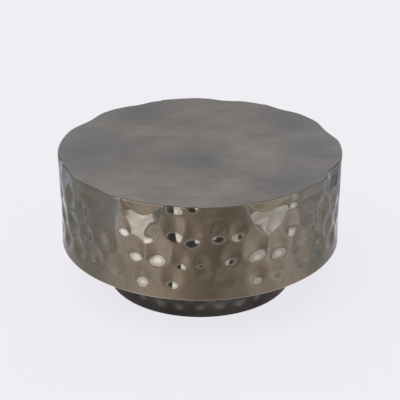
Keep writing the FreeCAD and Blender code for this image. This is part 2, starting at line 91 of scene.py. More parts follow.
# Dents of half the drum: angle, share of the wall's height, share of the radius, share of the depth
HALF_DENTS = (
    # lowest row
    (-76, 0.21, 0.9, 0.4), (-67, 0.22, 1.0, 1.0), (-56, 0.21, 0.9, 0.9), (-44, 0.22, 0.9, 0.9),
    (-33, 0.22, 0.9, 0.42), (-22, 0.205, 1.0, 1.05), (-10.2, 0.22, 1.0, 0.9), (1.5, 0.31, 0.8, 0.42),
    (10, 0.22, 0.9, 0.4), (22, 0.205, 0.95, 0.85), (31, 0.21, 0.9, 0.5), (43, 0.22, 1.0, 0.6),
    (54, 0.22, 0.9, 0.9), (66, 0.22, 1.0, 1.0), (76, 0.21, 0.9, 0.4),
    # second row
    (-71, 0.41, 1.1, 0.7), (-60, 0.45, 1.0, 1.0), (-49, 0.42, 0.9, 0.9), (-37, 0.47, 0.9, 0.5),
    (-24.5, 0.47, 1.1, 1.05), (-16, 0.475, 1.25, 1.1), (-7, 0.41, 0.9, 0.8), (1, 0.40, 0.7, 0.65),
    (11.5, 0.45, 0.85, 0.62), (21.7, 0.51, 1.3, 1.05), (31, 0.47, 1.25, 1.2), (41, 0.42, 1.0, 0.6),
    (51, 0.46, 0.9, 0.9), (61, 0.42, 0.9, 0.9), (72, 0.44, 1.1, 0.7),
    # third row
    (-75, 0.66, 1.0, 0.5), (-62, 0.74, 1.0, 1.0), (-52, 0.66, 0.9, 0.9), (-41, 0.69, 0.9, 0.5),
    (-28.9, 0.69, 0.85, 0.75), (-18.8, 0.655, 1.05, 0.92), (-9.3, 0.74, 1.1, 1.05),
    (-2.5, 0.69, 1.0, 0.85), (7, 0.71, 0.8, 0.58), (14, 0.71, 0.85, 0.62),
    (36.5, 0.66, 1.05, 1.0), (46, 0.74, 1.1, 0.6), (56, 0.65, 1.0, 1.0), (67, 0.67, 1.0, 1.0),
    (77, 0.66, 1.0, 0.4),
    # at the rim
    (-9.6, 1.03, 1.3, 0.9), (-2.6, 1.03, 0.7, 0.55), (37, 0.95, 0.95, 0.6),
)

# Rows of plinth dents: share of the plinth wall's height, turn in dent pitches
PLINTH_ROWS = ((0.32, 0.0), (0.66, 0.5))


def drum_dents():
    """Angle, height, half width, half height and depth of every dent of the drum, and 1 if it is long."""
    dents = []
    for angle, depth, radius in RIM_DENTS:
        reach = radius * RIM_DENT_RADIUS
        dents.append((angle, WALL_TOP, reach, reach, depth * RIM_DENT_DEPTH, 0))
    for half_turn in (0, 180):
        for angle, depth, width, length in HALF_LONG_DENTS:
            dents.append((angle + half_turn, WALL_TOP, width * RIM_DENT_RADIUS, length * RIM_DENT_RADIUS,
                          depth * RIM_DENT_DEPTH, 1))
        for angle, share, radius, depth in HALF_DENTS:
            height = WALL_FOOT + share * (WALL_TOP - WALL_FOOT)
            reach = radius * DENT_RADIUS
            dents.append((angle + half_turn, height, reach, reach, depth * DENT_DEPTH, 0))
    return dents


def plinth_dents():
    """Staggered rows of soft dents that stay clear of the two seams."""
    clear = math.sin((SEAM_MARGIN + PLINTH_DENT_RADIUS) / PLINTH_RADIUS)
    dents = []
    for share, stagger in PLINTH_ROWS:
        height = PLINTH_FOOT + share * (PLINTH_TOP - PLINTH_FOOT)
        for step in range(PLINTH_DENT_COUNT):
            angle = (step + stagger) * 360 / PLINTH_DENT_COUNT
            if abs(math.cos(math.radians(angle))) > clear:
                dents.append((angle, height, PLINTH_DENT_RADIUS, PLINTH_DENT_RADIUS, PLINTH_DENT_DEPTH, 0))
    return dents


# Node helpers

def add(tree, kind, sockets=None, **settings):
    """New node with its settings, and its inputs set to values or linked to sockets."""
    node = tree.nodes.new(kind)
    for name, setting in settings.items():
        setattr(node, name, setting)
    for name, source in (sockets or {}).items():
        if isinstance(source, bpy.types.NodeSocket):
            tree.links.new(source, node.inputs[name])
        else:
            node.inputs[name].default_value = source
    return node


def maths(tree, operation, *values):
    """Result of a calculation with numbers or sockets."""
    return add(tree, "ShaderNodeMath", dict(enumerate(values)), operation=operation).outputs[0]


def vector_maths(tree, operation, first, second):
    """Vector that a calculation with two vectors gives."""
    return add(tree, "ShaderNodeVectorMath", {0: first, 1: second}, operation=operation).outputs["Vector"]


def distance_between(tree, first, second):
    return add(tree, "ShaderNodeVectorMath", {0: first, 1: second}, operation="DISTANCE").outputs["Value"]


def mix_colour(tree, factor, first, second, blend="MIX"):
    """Colour between two colours, or their product."""
    node = add(tree, "ShaderNodeMix", data_type="RGBA", blend_type=blend)
    for slot, source in (("Factor_Float", factor), ("A_Color", first), ("B_Color", second)):
        socket = next(item for item in node.inputs if item.identifier == slot)
        if isinstance(source, bpy.types.NodeSocket):
            tree.links.new(source, socket)
        else:
            socket.default_value = source
    return next(item for item in node.outputs if item.identifier == "Result_Color")


def stored(tree, name):
    """Number stored on the geometry under a name."""
    node = add(tree, "GeometryNodeInputNamedAttribute", {"Name": name}, data_type="FLOAT")
    return node.outputs["Attribute"]


def store(tree, geometry, name, number):
    """Geometry with a number stored on its points under a name."""
    node = add(tree, "GeometryNodeStoreNamedAttribute",
               {"Geometry": geometry, "Name": name, "Value": number}, data_type="FLOAT", domain="POINT")
    return node.outputs["Geometry"]


def parts_of(tree, vector):
    """X, Y and Z of a vector."""
    return add(tree, "ShaderNodeSeparateXYZ", {"Vector": vector}).outputs


def here(tree):
    """Position of each point."""
    return add(tree, "GeometryNodeInputPosition").outputs["Position"]


def new_geometry_tree(name, inputs):
    """Tree with named inputs and one geometry as its output, and the sockets of the inputs."""
    tree = bpy.data.node_groups.new(name, "GeometryNodeTree")
    for label, kind in inputs:
        tree.interface.new_socket(label, in_out="INPUT", socket_type="NodeSocket" + kind)
    tree.interface.new_socket("Geometry", in_out="OUTPUT", socket_type="NodeSocketGeometry")
    return tree, add(tree, "NodeGroupInput").outputs


def end_tree(tree, geometry, material):
    """Last nodes of every tree: smooth real meshes with their material."""
    smooth = add(tree, "GeometryNodeSetShadeSmooth", {"Geometry": geometry})
    real = add(tree, "GeometryNodeRealizeInstances", {"Geometry": smooth.outputs["Geometry"]})
    finished = add(tree, "GeometryNodeSetMaterial", {
        "Geometry": real.outputs["Geometry"], "Material": material})
    add(tree, "NodeGroupOutput", {"Geometry": finished.outputs["Geometry"]})


# Hammered sheets

# Ripple of the sheet, in metres, which fades out towards the edges
DRUM_RIPPLE, PLINTH_RIPPLE = 0.0030, 0.0012
RIPPLE_FADE = 0.03
RIPPLE_SCALE, RIPPLE_SEED = 11.0, 3.0
RIPPLE_DETAIL, RIPPLE_ROUGHNESS = 2.5, 0.55

# How far the outlines of the dents wander, in metres
WANDER, WANDER_SCALE = 0.013, 14.0

# Share of the way to the middle at which the top has a ring of points
FLAT_RING = 0.015
MERGE_DISTANCE = 1e-5
SHARP_EDGE = math.radians(40)


def round_position(tree, angle, reach, height):
    """Point at an angle from the front, a distance from the axis and a height."""
    return add(tree, "ShaderNodeCombineXYZ", {
        "X": maths(tree, "MULTIPLY", maths(tree, "SINE", angle), reach),
        "Y": maths(tree, "MULTIPLY", maths(tree, "COSINE", angle), maths(tree, "MULTIPLY", reach, -1.0)),
        "Z": height,
    }).outputs["Vector"]


def press_tree():
    """Group that stores on a surface, as press, how far the dents push it in.

    The surface holds its angle and height, and each dent is a point at angle, height and half width.
    """
    tree, given = new_geometry_tree("hammer_press", (
        ("Geometry", "Geometry"), ("Dents", "Geometry"), ("Radius", "Float")))
    dents = given["Dents"]
    angle, height = stored(tree, "angle"), stored(tree, "height")
    wall = round_position(tree, angle, given["Radius"], height)
    wander = add(tree, "ShaderNodeTexNoise", {"Vector": wall, "Scale": WANDER_SCALE, "Detail": 0.0})
    strayed = parts_of(tree, wander.outputs["Color"])
    stray_across = maths(tree, "MULTIPLY", maths(tree, "SUBTRACT", strayed["X"], 0.5), WANDER)
    stray_along = maths(tree, "MULTIPLY", maths(tree, "SUBTRACT", strayed["Y"], 0.5), WANDER)

    count = add(tree, "GeometryNodeAttributeDomainSize", {"Geometry": dents}, component="MESH")
    begin = add(tree, "GeometryNodeRepeatInput")
    end = add(tree, "GeometryNodeRepeatOutput")
    begin.pair_with_output(end)
    tree.links.new(count.outputs["Point Count"], begin.inputs["Iterations"])
    tree.links.new(store(tree, given["Geometry"], "press", 0.0), begin.inputs["Geometry"])

    def of_dent(value, kind):
        sample = add(tree, "GeometryNodeSampleIndex", {
            "Geometry": dents, "Value": value, "Index": begin.outputs["Iteration"]}, data_type=kind)
        return sample.outputs["Value"]

    dent = parts_of(tree, of_dent(here(tree), "FLOAT_VECTOR"))
    half_height = of_dent(stored(tree, "half_height"), "FLOAT")
    is_long = of_dent(stored(tree, "is_long"), "FLOAT")
    turned = maths(tree, "WRAP", maths(tree, "SUBTRACT", angle, dent["X"]), math.pi, -math.pi)
    across = maths(tree, "MULTIPLY_ADD", turned, given["Radius"], stray_across)
    along = maths(tree, "ADD", maths(tree, "SUBTRACT", height, dent["Y"]), stray_along)
    along = maths(tree, "MINIMUM", along, maths(tree, "DIVIDE", along, DENT_RISE))
    power_across = maths(tree, "MULTIPLY_ADD", is_long, LONG_POWER - ROUND_POWER, ROUND_POWER)
    power_along = maths(tree, "MULTIPLY_ADD", is_long, LONG_DROP - ROUND_POWER, ROUND_POWER)
    share_across = maths(tree, "ABSOLUTE", maths(tree, "DIVIDE", across, dent["Z"]))
    share_along = maths(tree, "ABSOLUTE", maths(tree, "DIVIDE", along, half_height))
    slack = maths(tree, "SUBTRACT", 1.0, maths(tree, "POWER", share_across, power_across))
    slack = maths(tree, "SUBTRACT", slack, maths(tree, "POWER", share_along, power_along))
    slack = maths(tree, "MAXIMUM", slack, 0.0)
    bowl = maths(tree, "POWER", slack, DENT_POWER)
    flank = maths(tree, "DIVIDE", slack, LONG_FLANK)
    below_rim = maths(tree, "MAXIMUM", maths(tree, "SUBTRACT", dent["Y"], height), 0.0)
    face_length = maths(tree, "MULTIPLY", half_height, LONG_FACE)
    face = maths(tree, "ADD", maths(tree, "DIVIDE", below_rim, face_length), LONG_START)
    wedge = maths(tree, "MAXIMUM", maths(tree, "SMOOTH_MIN", flank, face, LONG_ROUNDING), 0.0)
    form = maths(tree, "MULTIPLY_ADD", is_long, maths(tree, "SUBTRACT", wedge, bowl), bowl)
    deep = maths(tree, "MULTIPLY", form, of_dent(stored(tree, "depth"), "FLOAT"))
    total = maths(tree, "ADD", stored(tree, "press"), maths(tree, "POWER", deep, DENT_BLEND))
    tree.links.new(store(tree, begin.outputs["Geometry"], "press", total), end.inputs["Geometry"])
    pressed = maths(tree, "POWER", stored(tree, "press"), 1 / DENT_BLEND)
    add(tree, "NodeGroupOutput", {"Geometry": store(tree, end.outputs["Geometry"], "press", pressed)})
    return tree


def pressed_round(tree, surface, given):
    """Surface with its dents, and how far each point then lies from the axis."""
    group = add(tree, "GeometryNodeGroup", node_tree=hammer_press)
    tree.links.new(surface, group.inputs["Geometry"])
    for name in ("Dents", "Radius"):
        tree.links.new(given[name], group.inputs[name])
    angle, height = stored(tree, "angle"), stored(tree, "height")
    ripple = add(tree, "ShaderNodeTexNoise", {
        "Vector": round_position(tree, angle, given["Radius"], height), "W": RIPPLE_SEED,
        "Scale": RIPPLE_SCALE, "Detail": RIPPLE_DETAIL, "Roughness": RIPPLE_ROUGHNESS}, noise_dimensions="4D")
    inside = maths(tree, "MINIMUM", maths(tree, "SUBTRACT", height, given["Foot"]),
                   maths(tree, "SUBTRACT", given["Rim"], height))
    fade = maths(tree, "MINIMUM", maths(tree, "DIVIDE", inside, RIPPLE_FADE), 1.0)
    wave = maths(tree, "MULTIPLY", maths(tree, "MULTIPLY", ripple.outputs["Fac"], fade), given["Ripple"])
    pressed = maths(tree, "SUBTRACT", given["Radius"], stored(tree, "press"))
    return group.outputs["Geometry"], maths(tree, "SUBTRACT", pressed, wave)


SHEET_INPUTS = (
    ("Dents", "Geometry"), ("Radius", "Float"), ("Foot", "Float"), ("Rim", "Float"),
    ("Ripple", "Float"), ("Material", "Material"))


def panel_tree():
    """Half of a hammered wall, from a grid whose last rows roll inwards over the top edge."""
    tree, given = new_geometry_tree("hammered_panel", SHEET_INPUTS + (
        ("Middle", "Float"), ("Edge", "Float"), ("Columns", "Int"), ("Rows", "Int"), ("Roll Rows", "Int")))
    last_row = maths(tree, "ADD", given["Rows"], given["Roll Rows"])
    grid = add(tree, "GeometryNodeMeshGrid", {
        "Size X": math.pi, "Size Y": last_row,
        "Vertices X": maths(tree, "ADD", given["Columns"], 1.0),
        "Vertices Y": maths(tree, "ADD", last_row, 1.0)})
    spot = parts_of(tree, here(tree))
    row = maths(tree, "MULTIPLY_ADD", last_row, 0.5, spot["Y"])
    climbed = maths(tree, "MINIMUM", maths(tree, "DIVIDE", row, given["Rows"]), 1.0)
    past_wall = maths(tree, "MAXIMUM", maths(tree, "SUBTRACT", row, given["Rows"]), 0.0)
    rolled = maths(tree, "DIVIDE", past_wall, given["Roll Rows"])
    surface = store(tree, grid.outputs["Mesh"], "angle", maths(tree, "ADD", spot["X"], given["Middle"]))
    surface = store(tree, surface, "roll", maths(tree, "MULTIPLY", rolled, math.pi / 2))
    wall_height = maths(tree, "SUBTRACT", given["Rim"], given["Foot"])
    surface = store(tree, surface, "height", maths(tree, "MULTIPLY_ADD", climbed, wall_height, given["Foot"]))
    pressed, reach = pressed_round(tree, surface, given)
    roll = stored(tree, "roll")
    inset = maths(tree, "MULTIPLY", maths(tree, "SUBTRACT", 1.0, maths(tree, "COSINE", roll)), given["Edge"])
    level = maths(tree, "MULTIPLY_ADD", maths(tree, "SINE", roll), given["Edge"], stored(tree, "height"))
    reach = maths(tree, "SUBTRACT", reach, inset)
    wrapped = add(tree, "GeometryNodeSetPosition", {
        "Geometry": pressed,
        "Position": round_position(tree, stored(tree, "angle"), reach, level)})
    end_tree(tree, wrapped.outputs["Geometry"], given["Material"])
    return tree


def top_tree():
    """Flat sheet inside the rolled edge, from a grid with rows at its rim, on a ring and in the middle."""
    tree, given = new_geometry_tree("flat_top", SHEET_INPUTS + (
        ("Level", "Float"), ("Edge", "Float"), ("Points", "Int")))
    grid = add(tree, "GeometryNodeMeshGrid", {
        "Size X": 2 * math.pi, "Size Y": 2.0,
        "Vertices X": maths(tree, "ADD", given["Points"], 1.0), "Vertices Y": 3})
    spot = parts_of(tree, here(tree))
    surface = store(tree, grid.outputs["Mesh"], "angle", spot["X"])
    surface = store(tree, surface, "row", maths(tree, "ADD", spot["Y"], 1.0))
    surface = store(tree, surface, "height", given["Rim"])
    pressed, reach = pressed_round(tree, surface, given)
    row = stored(tree, "row")
    to_ring = maths(tree, "MULTIPLY", maths(tree, "MINIMUM", row, 1.0), FLAT_RING)
    to_middle = maths(tree, "MAXIMUM", maths(tree, "SUBTRACT", row, 1.0), 0.0)
    outward = maths(tree, "SUBTRACT", maths(tree, "SUBTRACT", 1.0, to_ring), to_middle)
    outward = maths(tree, "MAXIMUM", outward, 0.0)
    reach = maths(tree, "MULTIPLY", maths(tree, "SUBTRACT", reach, given["Edge"]), outward)
    shaped = add(tree, "GeometryNodeSetPosition", {
        "Geometry": pressed,
        "Position": round_position(tree, stored(tree, "angle"), reach, given["Level"])})
    closed = add(tree, "GeometryNodeMergeByDistance", {
        "Geometry": shaped.outputs["Geometry"], "Distance": MERGE_DISTANCE})
    end_tree(tree, closed.outputs["Geometry"], given["Material"])
    return tree


def dent_points(name, dents):
    """Mesh of one loose point for each dent."""
    mesh = bpy.data.meshes.new(name)
    mesh.from_pydata([(math.radians(dent[0]), dent[1], dent[2]) for dent in dents], [], [])
    for column, label in ((3, "half_height"), (4, "depth"), (5, "is_long")):
        numbers = mesh.attributes.new(label, "FLOAT", "POINT")
        for number, dent in zip(numbers.data, dents):
            number.value = dent[column]
    return mesh


# Fasteners

SCREW_SIDES = 12

# Cross recess, as shares of the head's radius and height, and of its mouth at its floor
CROSS_REACH, CROSS_CORNER, CROSS_DEPTH, CROSS_TAPER = 0.52, 0.19, 0.42, 0.75

# Pan head, as shares of its radius and height: flat face, shoulder, and where the straight side ends
PAN_FACE, PAN_SHOULDER, PAN_SHOULDER_DROP, PAN_SIDE_DROP = 0.62, 0.90, 0.78, 0.42

# Hexagon head, as shares of half its width and of its height: flat face, chamfer at flats and corners
HEX_FACE, HEX_FLAT_DROP, HEX_CORNER_DROP = 0.90, 0.96, 0.80

# Ends of the shanks, as shares of their radius
SCREW_POINT = 0.3
BOLT_END, BOLT_CHAMFER = 0.8, 0.2


def ring_tree():
    """The object's own mesh, repeated round a circle and turned with it."""
    tree, given = new_geometry_tree("fastener_ring", (
        ("Fastener", "Geometry"), ("Count", "Int"), ("Circle", "Float"), ("Level", "Float"),
        ("Material", "Material")))
    circle = add(tree, "GeometryNodeMeshCircle", {"Vertices": given["Count"], "Radius": given["Circle"]})
    lift = add(tree, "ShaderNodeCombineXYZ", {"Z": given["Level"]})
    places = add(tree, "GeometryNodeSetPosition", {
        "Geometry": circle.outputs["Mesh"], "Offset": lift.outputs["Vector"]})
    spot = parts_of(tree, here(tree))
    turn = add(tree, "ShaderNodeCombineXYZ", {"Z": maths(tree, "ARCTAN2", spot["Y"], spot["X"])})
    copies = add(tree, "GeometryNodeInstanceOnPoints", {
        "Points": places.outputs["Geometry"], "Instance": given["Fastener"],
        "Rotation": turn.outputs["Vector"]})
    end_tree(tree, copies.outputs["Instances"], given["Material"])
    return tree


def stacked_rings(name, rings):
    """Closed mesh through rings of the same number of points, with the first and last ring filled."""
    shape = bmesh.new()
    loops = [[shape.verts.new(point) for point in ring] for ring in rings]
    for lower, upper in zip(loops, loops[1:]):
        for step in range(len(lower)):
            after = (step + 1) % len(lower)
            shape.faces.new((lower[step], lower[after], upper[after], upper[step]))
    shape.faces.new(reversed(loops[0]))
    shape.faces.new(loops[-1])
    bmesh.ops.recalc_face_normals(shape, faces=shape.faces)
    mesh = bpy.data.meshes.new(name)
    shape.to_mesh(mesh)
    shape.free()
    return mesh


def round_ring(radii, height):
    """Points round the axis: the radii repeat round the ring, and the height may repeat with them."""
    heights = height if isinstance(height, tuple) else (height,)
    points = []
    for step in range(SCREW_SIDES):
        angle = 2 * math.pi * (step - 0.5) / SCREW_SIDES
        reach = radii[step % len(radii)]
        points.append((reach * math.cos(angle), reach * math.sin(angle), heights[step % len(heights)]))
    return points


def pan_screw(name, head_radius, head_height, shank_radius, length):
    """Pan head screw, head down and bearing at height 0, with a cross recess in the head."""
    arms = (CROSS_REACH * head_radius, CROSS_REACH * head_radius, CROSS_CORNER * head_radius)
    floor = tuple(CROSS_TAPER * arm for arm in arms)
    return stacked_rings(name, (
        round_ring(floor, (CROSS_DEPTH - 1) * head_height),
        round_ring(arms, -head_height),
        round_ring((PAN_FACE * head_radius,), -head_height),
        round_ring((PAN_SHOULDER * head_radius,), -PAN_SHOULDER_DROP * head_height),
        round_ring((head_radius,), -PAN_SIDE_DROP * head_height),
        round_ring((head_radius,), 0),
        round_ring((shank_radius,), 0),
        round_ring((shank_radius,), length - shank_radius),
        round_ring((SCREW_POINT * shank_radius,), length),
    ))


def hex_bolt(name, across_flats, head_height, shank_radius, length):
    """Hexagon bolt, head down and bearing at height 0, with its corners chamfered."""
    flat = across_flats / 2
    corner = flat / math.cos(math.pi / 6)
    sides = (flat, corner)
    return stacked_rings(name, (
        round_ring((HEX_FACE * flat,), -head_height),
        round_ring(sides, (-HEX_FLAT_DROP * head_height, -HEX_CORNER_DROP * head_height)),
        round_ring(sides, 0),
        round_ring((shank_radius,), 0),
        round_ring((shank_radius,), length - BOLT_CHAMFER * shank_radius),
        round_ring((BOLT_END * shank_radius,), length),
    ))


# Making pieces

def new_piece(name, mesh):
    """Object with a mesh, in the scene."""
    piece = bpy.data.objects.new(name, mesh)
    bpy.context.scene.collection.objects.link(piece)
    return piece


def run_tree(piece, tree, **values):
    """Put a tree on a piece and set the tree's inputs by name."""
    modifier = piece.modifiers.new(tree.name, "NODES")
    modifier.node_group = tree
    for item in tree.interface.items_tree:
        if item.in_out == "INPUT" and item.name in values:
            modifier[item.identifier] = values[item.name]


def settle(piece):
    """Turn a piece's modifiers into its plain mesh, with its sharp edges kept sharp."""
    depsgraph = bpy.context.evaluated_depsgraph_get()
    mesh = bpy.data.meshes.new_from_object(
        piece.evaluated_get(depsgraph), preserve_all_data_layers=True, depsgraph=depsgraph)
    mesh.set_sharp_from_angle(angle=SHARP_EDGE)
    piece.modifiers.clear()
    piece.data = mesh
    mesh.name = piece.name


def thicken(piece, thickness):
    """Give a sheet its thickness on the inside."""
    sheet = piece.modifiers.new("sheet", "SOLIDIFY")
    sheet.thickness = thickness
    sheet.offset = -1
    sheet.use_even_offset = True


def fit_to_frame(piece, slot, *nodes):
    """The piece rides on the table and stands for its CAD nodes, which it hides."""
    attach(piece, "root")
    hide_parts(*nodes)


def hammered_panel(name, node, slot, material, dents, grid, **sizes):
    """Half of a hammered wall in place of a CAD node."""
    columns, rows, roll_rows = grid
    grid_inputs = {"Columns": columns, "Rows": rows, "Roll Rows": roll_rows}
    piece = new_piece(name, dent_points(name, dents))
    run_tree(piece, hammered_wall, Material=material, **grid_inputs, **sizes)
    thicken(piece, WALL_THICKNESS)
    settle(piece)
    fit_to_frame(piece, slot, node)


def fastener_ring(name, node, mesh, count, circle, level):
    """Ring of fasteners in place of a CAD node."""
    piece = new_piece(name, mesh)
    run_tree(piece, round_the_circle, Material=zinc, Count=count, Circle=circle, Level=level)
    settle(piece)
    fit_to_frame(piece, "zinc_fasteners", node)


# Materials

def new_material(name):
    """Material with its tree, its shader and the place on the object."""
    material = bpy.data.materials.new(name)
    material.use_nodes = True
    tree = material.node_tree
    shader = tree.nodes["Principled BSDF"]
    place = add(tree, "ShaderNodeTexCoord").outputs["Object"]
    return material, tree, shader, place


def stretched(tree, place, scale):
    """Place scaled along each axis."""
    return add(tree, "ShaderNodeMapping", {"Vector": place, "Scale": scale}).outputs["Vector"]


def noise(tree, place, scale, detail=3.0, roughness=0.5):
    """Soft random number at each place."""
    node = add(tree, "ShaderNodeTexNoise", {
        "Vector": place, "Scale": scale, "Detail": detail, "Roughness": roughness})
    return node.outputs["Fac"]


def ramp(tree, factor, *stops):
    """Colours at positions along a factor."""
    node = add(tree, "ShaderNodeValToRGB", {"Fac": factor})
    elements = node.color_ramp.elements
    while len(elements) < len(stops):
        elements.new(0.5)
    for element, (position, colour) in zip(elements, stops):
        element.position = position
        element.color = (*colour, 1)
    return node.outputs["Color"]


def spread(tree, factor, low, high, start=0.3, end=0.7):
    """Number from low to high as a factor goes from start to end."""
    node = add(tree, "ShaderNodeMapRange", {
        "Value": factor, "From Min": start, "From Max": end, "To Min": low, "To Max": high})
    return node.outputs["Result"]


def by_stops(tree, factor, *stops):
    """Number that goes in straight runs through stops of factor and number."""
    total = stops[0][1]
    for (start, low), (end, high) in zip(stops, stops[1:]):
        total = maths(tree, "ADD", spread(tree, factor, 0.0, high - low, start, end), total)
    return total


def bump(tree, shader, height, strength, distance):
    """Fine relief on a shader."""
    node = add(tree, "ShaderNodeBump", {"Height": height, "Strength": strength, "Distance": distance})
    tree.links.new(node.outputs["Normal"], shader.inputs["Normal"])


def polished_bronze():
    """Dark bronze sheet, hammered and then polished, with a faint cloudy patina."""
    material, tree, shader, place = new_material("polished_bronze")
    cloud = noise(tree, stretched(tree, place, (1, 1, 0.6)), 9.0, 4.0, 0.6)
    tone = ramp(tree, cloud, (0.32, (0.126, 0.107, 0.082)), (0.50, (0.152, 0.122, 0.091)),
                (0.68, (0.168, 0.145, 0.119)))
    tree.links.new(tone, shader.inputs["Base Color"])
    shader.inputs["Metallic"].default_value = 1.0
    smear = noise(tree, stretched(tree, place, (1, 1, 3)), 24.0, 5.0, 0.6)
    tree.links.new(spread(tree, smear, 0.08, 0.13), shader.inputs["Roughness"])
    bump(tree, shader, noise(tree, place, 60.0, 2.0), 0.10, 0.001)
    return material


# Darker bluish clouds on the top: X, Y, reach
DARK_BLUISH_CLOUDS = (
    (-0.01, -0.10, 0.17), (-0.36, -0.04, 0.24), (0.28, -0.25, 0.19),
    (0.36, -0.02, 0.16), (0.30, 0.22, 0.18), (-0.20, 0.32, 0.16),
)
CLOUD_TONE = (0.116, 0.116, 0.117, 1)
CLOUD_STRENGTH, CLOUD_HEART = 0.85, 0.1

# The edges of the clouds drift by up to half of these lengths
CLOUD_DRIFT = Vector((0.20, 0.12, 0.0))

# Painted light on the top, brighter towards the front and about one spot: Y and tone, then X, Y, reach and
# tone
FRONT_LIGHT_STOPS = ((-0.42, 1.21), (0.05, 0.97), (0.42, 0.88))
BRIGHT_X, BRIGHT_Y, BRIGHT_REACH, BRIGHT_TONE = 0.22, -0.01, 0.26, 1.20


def brushed_pewter():
    """Top sheet: fine straight brushing along X, darker bluish clouds, and painted light, brighter towards
    the front and about one spot.
    """
    material, tree, shader, place = new_material("brushed_pewter")
    fine = noise(tree, stretched(tree, place, (3, 320, 1)), 1.0, 6.0, 0.7)
    broad = noise(tree, stretched(tree, place, (7, 60, 1)), 1.0, 5.0, 0.7)
    mottle = noise(tree, stretched(tree, place, (1, 1.4, 1)), 10.0, 6.0, 0.65)
    tone = ramp(tree, mottle, (0.34, (0.169, 0.154, 0.133)), (0.50, (0.199, 0.181, 0.156)),
                (0.66, (0.229, 0.208, 0.179)))
    drift = add(tree, "ShaderNodeTexNoise", {"Vector": place, "Scale": 6.0, "Detail": 3.0}).outputs["Color"]
    drift = vector_maths(tree, "MULTIPLY", drift, CLOUD_DRIFT)
    strayed = vector_maths(tree, "ADD", place, drift)
    strayed = vector_maths(tree, "SUBTRACT", strayed, CLOUD_DRIFT / 2)
    cloudy = 0.0
    for across, along, reach in DARK_BLUISH_CLOUDS:
        away = distance_between(tree, strayed, (across, along, TABLE_TOP))
        cloud = spread(tree, away, CLOUD_STRENGTH, 0.0, CLOUD_HEART * reach, reach)
        cloudy = maths(tree, "MAXIMUM", cloudy, cloud)
    tone = mix_colour(tree, cloudy, tone, CLOUD_TONE)
    streaks = ramp(tree, fine, (0.30, (0.82, 0.82, 0.82)), (0.70, (1.18, 1.18, 1.18)))
    bands = ramp(tree, broad, (0.30, (0.91, 0.91, 0.92)), (0.70, (1.09, 1.09, 1.08)))
    tone = mix_colour(tree, 1.0, tone, streaks, "MULTIPLY")
    tone = mix_colour(tree, 1.0, tone, bands, "MULTIPLY")
    # Painted light: the top's tone is raised towards the front and about one bright spot
    painted_light = by_stops(tree, parts_of(tree, place)["Y"], *FRONT_LIGHT_STOPS)
    away = distance_between(tree, strayed, (BRIGHT_X, BRIGHT_Y, TABLE_TOP))
    painted_light = maths(tree, "MULTIPLY", painted_light, spread(tree, away, BRIGHT_TONE, 1.0, 0.0, BRIGHT_REACH))
    grey = add(tree, "ShaderNodeCombineXYZ", {"X": painted_light, "Y": painted_light, "Z": painted_light}).outputs["Vector"]
    tone = mix_colour(tree, 1.0, tone, grey, "MULTIPLY")
    tree.links.new(tone, shader.inputs["Base Color"])
    shader.inputs["Metallic"].default_value = 1.0
    tree.links.new(spread(tree, fine, 0.34, 0.46), shader.inputs["Roughness"])
    bump(tree, shader, fine, 0.12, 0.0004)
    return material


def shaded_dark_bronze():
    """Plinth sheet, softly hammered and more satin than the drum; its darker tone is partly a darker finish
    and partly painted shade under the drum.
    """
    material, tree, shader, place = new_material("shaded_dark_bronze")
    cloud = noise(tree, place, 9.0, 4.0, 0.6)
    # Darker than the drum's bronze: partly a darker finish, partly painted shade under the drum's overhang
    tone = ramp(tree, cloud, (0.30, (0.070, 0.066, 0.064)), (0.70, (0.108, 0.102, 0.097)))
    tree.links.new(tone, shader.inputs["Base Color"])
    shader.inputs["Metallic"].default_value = 1.0
    tree.links.new(spread(tree, noise(tree, place, 30.0), 0.13, 0.20), shader.inputs["Roughness"])
    bump(tree, shader, noise(tree, place, 90.0, 2.0), 0.08, 0.001)
    return material


# How much the roughness of a coat goes up and down
COAT_UNEVEN = 0.06


def painted(name, dark, light, roughness, grain):
    """Plain coat with clouds of two tones and a fine orange-peel grain."""
    material, tree, shader, place = new_material(name)
    tone = ramp(tree, noise(tree, place, 14.0, 4.0, 0.6), (0.35, dark), (0.65, light))
    tree.links.new(tone, shader.inputs["Base Color"])
    fine = noise(tree, place, grain, 2.0)
    uneven = spread(tree, fine, roughness - COAT_UNEVEN, roughness + COAT_UNEVEN)
    tree.links.new(uneven, shader.inputs["Roughness"])
    bump(tree, shader, fine, 0.15, 0.0006)
    return material


# The bare cut edge of the drum floor comes in between these distances from the axis
BARE_FROM, BARE_TO = DRUM_RADIUS - 0.002, DRUM_RADIUS - 0.001
BARE_METAL = (0.31, 0.28, 0.243, 1)


def lacquered_floor():
    """Drum floor: dark satin lacquer, with the bare metal of the sheet at its cut edge."""
    material, tree, shader, place = new_material("lacquered_floor")
    cloud = noise(tree, place, 8.0, 4.0, 0.6)
    lacquer = ramp(tree, cloud, (0.30, (0.050, 0.046, 0.042)), (0.70, (0.072, 0.066, 0.060)))
    reach = add(tree, "ShaderNodeVectorMath", {0: stretched(tree, place, (1, 1, 0))}, operation="LENGTH")
    bare = spread(tree, reach.outputs["Value"], 0.0, 1.0, BARE_FROM, BARE_TO)
    tone = mix_colour(tree, bare, lacquer, BARE_METAL)
    tree.links.new(tone, shader.inputs["Base Color"])
    tree.links.new(bare, shader.inputs["Metallic"])
    tree.links.new(spread(tree, noise(tree, place, 40.0), 0.30, 0.42), shader.inputs["Roughness"])
    bump(tree, shader, noise(tree, place, 120.0, 2.0), 0.08, 0.0008)
    return material


def zinc_plate():
    """Bright zinc of the screws, bolts and washers, with a faint bluish and straw cast."""
    material, tree, shader, place = new_material("zinc_plate")
    tone = ramp(tree, noise(tree, place, 60.0, 3.0), (0.35, (0.50, 0.52, 0.56)), (0.65, (0.60, 0.58, 0.52)))
    tree.links.new(tone, shader.inputs["Base Color"])
    shader.inputs["Metallic"].default_value = 1.0
    tree.links.new(spread(tree, noise(tree, place, 160.0), 0.28, 0.42), shader.inputs["Roughness"])
    return material


